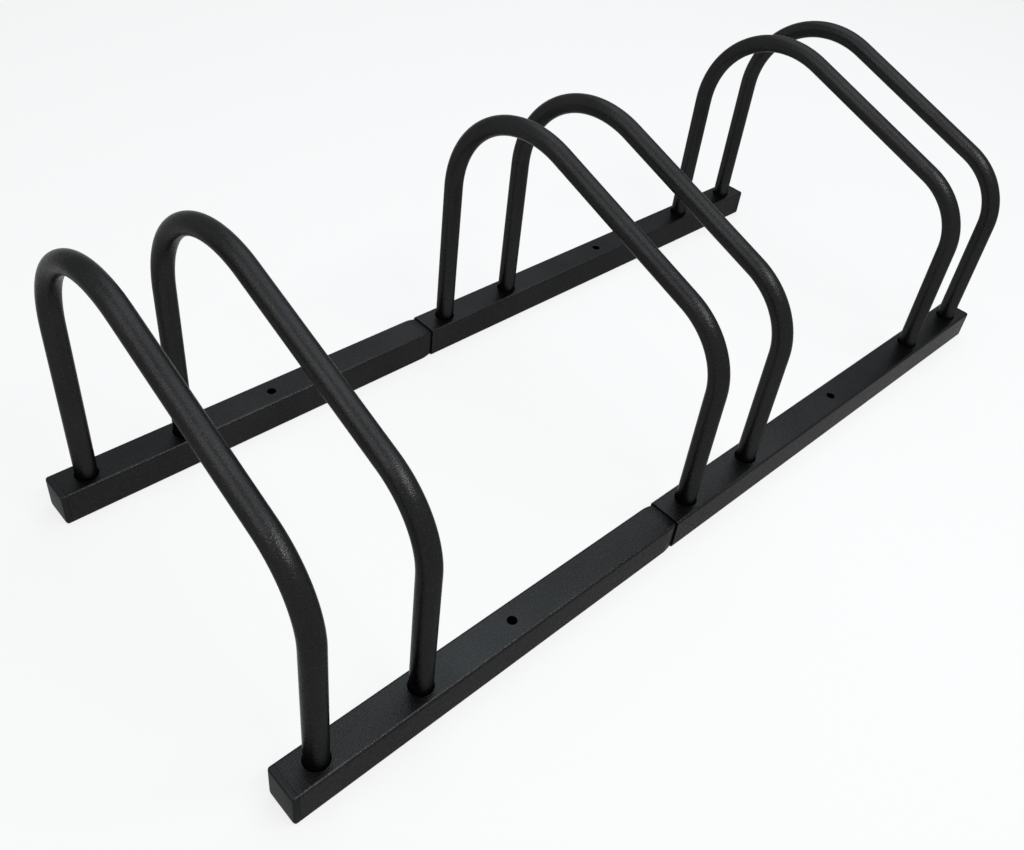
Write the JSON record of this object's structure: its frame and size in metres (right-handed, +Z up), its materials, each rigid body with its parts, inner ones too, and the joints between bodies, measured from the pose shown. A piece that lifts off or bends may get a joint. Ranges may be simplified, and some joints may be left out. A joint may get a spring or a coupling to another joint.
{
  "type": "floor bike rack",
  "caption": "Low floor rack for bicycles: pairs of bent tube hoops stand in square floor rails and hold a wheel between them.",
  "frame": {"origin": "on the floor, midway between the two rails and midway along the row of hoops", "axes": "+X along the rails, from the short lengths to the long ones; +Y from the low shoulders of the hoops to their tall crests; +Z up"},
  "size_m": [0.76, 0.301, 0.24],
  "materials": {
    "powder_coat": "fine-grained satin black powder coat on steel",
    "cap_plastic": "black moulded plastic, finely matt",
    "zinc_steel": "bright zinc plate",
    "plain_steel": "turned steel, oiled"
  },
  "bodies": {
    "root": {"front_rail_short": "powder_coat", "front_rail_long": "powder_coat", "rear_rail_short": "powder_coat", "rear_rail_long": "powder_coat", "front_left_end_cap": "cap_plastic", "front_right_end_cap": "cap_plastic", "rear_left_end_cap": "cap_plastic", "rear_right_end_cap": "cap_plastic", "hoop_1": "powder_coat", "hoop_2": "powder_coat", "hoop_3": "powder_coat", "hoop_4": "powder_coat", "hoop_5": "powder_coat", "hoop_6": "powder_coat", "hoop_1_front_threaded_plug": "plain_steel", "hoop_1_rear_threaded_plug": "plain_steel", "hoop_2_front_threaded_plug": "plain_steel", "hoop_2_rear_threaded_plug": "plain_steel", "hoop_3_front_threaded_plug": "plain_steel", "hoop_3_rear_threaded_plug": "plain_steel", "hoop_4_front_threaded_plug": "plain_steel", "hoop_4_rear_threaded_plug": "plain_steel", "hoop_5_front_threaded_plug": "plain_steel", "hoop_5_rear_threaded_plug": "plain_steel", "hoop_6_front_threaded_plug": "plain_steel", "hoop_6_rear_threaded_plug": "plain_steel", "hoop_1_front_screw": "zinc_steel", "hoop_1_rear_screw": "zinc_steel", "hoop_2_front_screw": "zinc_steel", "hoop_2_rear_screw": "zinc_steel", "hoop_3_front_screw": "zinc_steel", "hoop_3_rear_screw": "zinc_steel", "hoop_4_front_screw": "zinc_steel", "hoop_4_rear_screw": "zinc_steel", "hoop_5_front_screw": "zinc_steel", "hoop_5_rear_screw": "zinc_steel", "hoop_6_front_screw": "zinc_steel", "hoop_6_rear_screw": "zinc_steel"}
  },
  "joints": []
}
